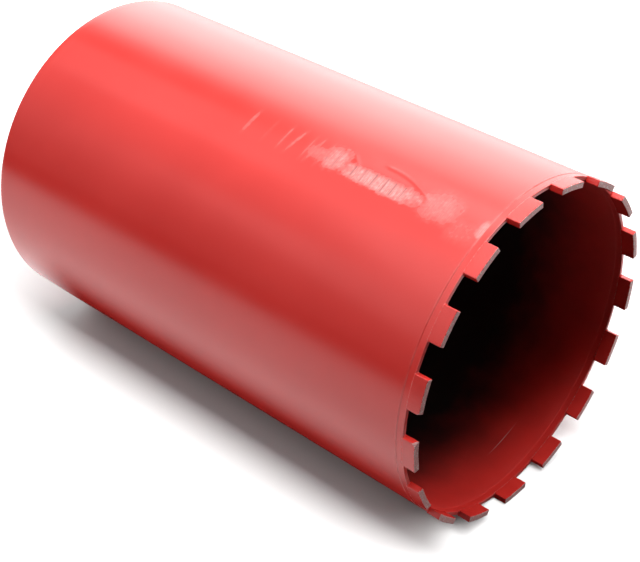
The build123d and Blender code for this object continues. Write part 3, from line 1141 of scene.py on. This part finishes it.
def ringed_paint():
    """Red paint over the fine rings of a turned face, by the distance from the axis."""
    material, tree, output = new_material("painted_plate")
    spot = add(tree, "TexCoord").outputs["Object"]
    rings = turning_rings(tree, spot, PLATE_RING_PITCH)
    cloudy = ramp(tree, noise(tree, spot, 14.0, 4.0), 0.3, 0.7)
    colour = blend_colours(tree, cloudy, PAINT_RED, PAINT_DEEP)
    rough = sums(tree, "MULTIPLY_ADD", noise(tree, spot, 40.0, 4.0), 0.12, 0.22)
    bump = add(tree, "Bump", Height=rings, Strength=0.08, Distance=0.0003)
    peel = add(tree, "Bump", Height=noise(tree, spot, 260.0), Strength=0.05, Distance=0.0004,
               Normal=bump.outputs[0])
    surface = add(tree, "BsdfPrincipled", Base_Color=colour, Roughness=rough, Normal=peel.outputs[0])
    tree.links.new(surface.outputs[0], output.inputs["Surface"])
    return material


back_plate = frame["nodes"]["back_plate"]
back_plate.data.materials.clear()
back_plate.data.materials.append(ringed_paint())
print("plate painted")

# %% [markdown]
# ## Hub
#
# The hub is turned from bar, milled to a hexagon for the wrench, and tapped for the machine's
# spindle. One closed outline runs from the water bore over the collar, up the hexagon, across
# the face and down the thread. At each angle the hexagon's rows take the distance to the flat,
# the flat's distance over the cosine of the angle from its middle, and no more than the cone
# that was turned on its corners. The thread's rows take a groove whose phase climbs one pitch
# a turn.

# %% Hub's sizes
HEXAGON_FLAT = 20.5 * MM  # from the axis to a flat
CORNER_CONE = 20.9 * MM  # radius of the turned cone at the hub's face
CORNER_DROP = 2.0 * MM
COLLAR_CHAMFER = 1.5 * MM
COLLAR_HEIGHT = 12.0 * MM
SPIGOT_RADIUS = 20.0 * MM
WATER_RADIUS = 11.0 * MM
MOUTH_RADIUS = 16.5 * MM
THREAD_PITCH = 25.4 * MM / 7
THREAD_GROOVE = 1.85 * MM
DRILL_POINT = 1.9 * MM
HUB_COLUMNS = 240
face_z = hub_high.z
collar_top = plate_top + COLLAR_HEIGHT
thread_radius = spindle["dims"]["r_mm"] * MM
thread_end = face_z - 36.0 * MM
hub_angles = np.linspace(0.0, 2 * np.pi, HUB_COLUMNS, endpoint=False)
hexagon_turn = (hub_angles % (np.pi / 3)) - np.pi / 6
print("hub from z", round(hub_low.z / MM, 1), "to", round(face_z / MM, 1), "mm")


def hexagon_radius(height):
    """Distance to the hexagon by angle, cut by the cone on its corners."""
    flat = HEXAGON_FLAT / np.cos(hexagon_turn)
    corner = HEXAGON_FLAT / math.cos(math.pi / 6)
    share = (face_z - height) / CORNER_DROP
    return np.minimum(flat, CORNER_CONE + (corner - CORNER_CONE) * share)


def thread_wall(height):
    """Radius of the tapped wall: the groove is a rounded V once each pitch, which climbs one
    pitch a turn and runs out at the bottom. The mouth is a cone at 45 degrees."""
    phase = (height / THREAD_PITCH - hub_angles / (2 * np.pi)) % 1.0
    groove = smooth(1.0 - np.abs(2 * phase - 1.0), 0.12, 0.95)
    depth = THREAD_GROOVE * smooth(height, thread_end, thread_end + 2 * THREAD_PITCH)
    mouth = MOUTH_RADIUS - (face_z - height)
    return np.maximum(thread_radius + depth * groove, mouth)


def ring(radius, height):
    """One row of the hub: a radius, the same or one for each angle, at a height."""
    radius = radius + np.zeros(HUB_COLUMNS)
    return np.stack([radius * np.cos(hub_angles), radius * np.sin(hub_angles),
                     np.full(HUB_COLUMNS, height)], axis=-1)


def rows_between(first, last, count):
    """Rows on the straight way from one row to another, without the last."""
    share = np.linspace(0.0, 1.0, count, endpoint=False)[:, None, None]
    return list(first + share * (last - first))


# %% Rows of the hub
EASE = 0.25 * MM
rows = []
rows += rows_between(ring(WATER_RADIUS, hub_low.z), ring(SPIGOT_RADIUS, hub_low.z), 3)
rows += rows_between(ring(SPIGOT_RADIUS, hub_low.z), ring(SPIGOT_RADIUS, plate_top), 4)
rows += rows_between(ring(SPIGOT_RADIUS, plate_top), ring(collar_radius, plate_top), 4)
collar_edge = ring(collar_radius, collar_top - COLLAR_CHAMFER)
collar_face = ring(collar_radius - COLLAR_CHAMFER, collar_top)
foot = ring(hexagon_radius(collar_top), collar_top)
rows += rows_between(ring(collar_radius, plate_top), collar_edge, 14)
rows += rows_between(collar_edge, collar_face, 4)
rows += rows_between(collar_face, foot, 8)
shoulder_z = face_z - CORNER_DROP
rows += rows_between(foot, ring(hexagon_radius(shoulder_z), shoulder_z), 20)
rows += [ring(hexagon_radius(z), z) for z in np.linspace(shoulder_z, face_z - EASE, 14)]
rim_row = ring(hexagon_radius(face_z) - EASE, face_z)
rows += rows_between(rim_row, ring(MOUTH_RADIUS, face_z), 10)
rows += [ring(thread_wall(z), z) for z in np.arange(face_z, thread_end, -THREAD_PITCH / 14)]
rows += rows_between(ring(thread_radius, thread_end), ring(WATER_RADIUS, thread_end - DRILL_POINT), 4)
rows += rows_between(ring(WATER_RADIUS, thread_end - DRILL_POINT), ring(WATER_RADIUS, hub_low.z), 8)
hub_points = np.array(rows)
print("hub grid", hub_points.shape[:2])

# %% [markdown]
# ### Finish of the hub
#
# The collar is sprayed with the rest. The hexagon, the seat face and the thread were masked, so
# they are bare machined steel with a film of oil. The paint's edge is a soft, slightly uneven
# line on the collar's top. The steel has the fine rings of turning on its face, and fine
# upright lines where the cutter passed along the flats.

# %% Make the hub's finish
TURNED_STEEL = (0.50, 0.49, 0.48, 1.0)
STAINED_STEEL = (0.38, 0.36, 0.34, 1.0)
HUB_RING_PITCH = 0.35 * MM
PAINT_EDGE_WIDTH = 1.2 * MM  # half of the soft edge's width on the collar's top


def hub_finish():
    """Bare steel above the paint's edge and red paint below it, by the mark painted."""
    material, tree, output = new_material("hub_steel_and_paint")
    spot = add(tree, "TexCoord").outputs["Object"]
    painted = add(tree, "Attribute", {"attribute_name": "painted"}).outputs["Fac"]
    wandering = sums(tree, "SUBTRACT", noise(tree, spot, 300.0, 3.0), 0.5)
    ragged = sums(tree, "MULTIPLY_ADD", wandering, 0.5, painted)
    coat = ramp(tree, ragged, 0.42, 0.58)
    rings = turning_rings(tree, spot, HUB_RING_PITCH)
    upright = add(tree, "Mapping", Vector=spot, Scale=(3000.0, 3000.0, 60.0)).outputs[0]
    lines = noise(tree, upright, 1.0, 2.0)
    stain = ramp(tree, noise(tree, spot, 120.0, 5.0), 0.4, 0.7)
    steel = blend_colours(tree, stain, TURNED_STEEL, STAINED_STEEL)
    colour = blend_colours(tree, coat, steel, PAINT_RED)
    rough = sums(tree, "MULTIPLY_ADD", stain, 0.14, 0.28)
    marks = sums(tree, "MULTIPLY_ADD", rings, 0.5, lines)
    bump = add(tree, "Bump", Height=sums(tree, "MULTIPLY", marks, sums(tree, "SUBTRACT", 1.0, coat)),
               Strength=0.12, Distance=0.0002)
    surface = add(tree, "BsdfPrincipled", Base_Color=colour, Roughness=rough, Normal=bump.outputs[0])
    tree.links.new(sums(tree, "SUBTRACT", 1.0, coat), surface.inputs["Metallic"])
    tree.links.new(surface.outputs[0], output.inputs["Surface"])
    return material


hub_from_axis = np.linalg.norm(hub_points[..., :2], axis=-1)
hexagon_corner = HEXAGON_FLAT / math.cos(math.pi / 6)
painted_mark = smooth(hub_from_axis, hexagon_corner, hexagon_corner + 2 * PAINT_EDGE_WIDTH) * (
    1.0 - smooth(hub_points[..., 2], collar_top + MM, collar_top + 2 * MM))
make_piece("machined_hub", [(hub_points, {"painted": painted_mark})], hub_finish(),
           ["hub"], crease=28.0)


# %% Set the view transform
scene.view_settings.view_transform = "Standard"
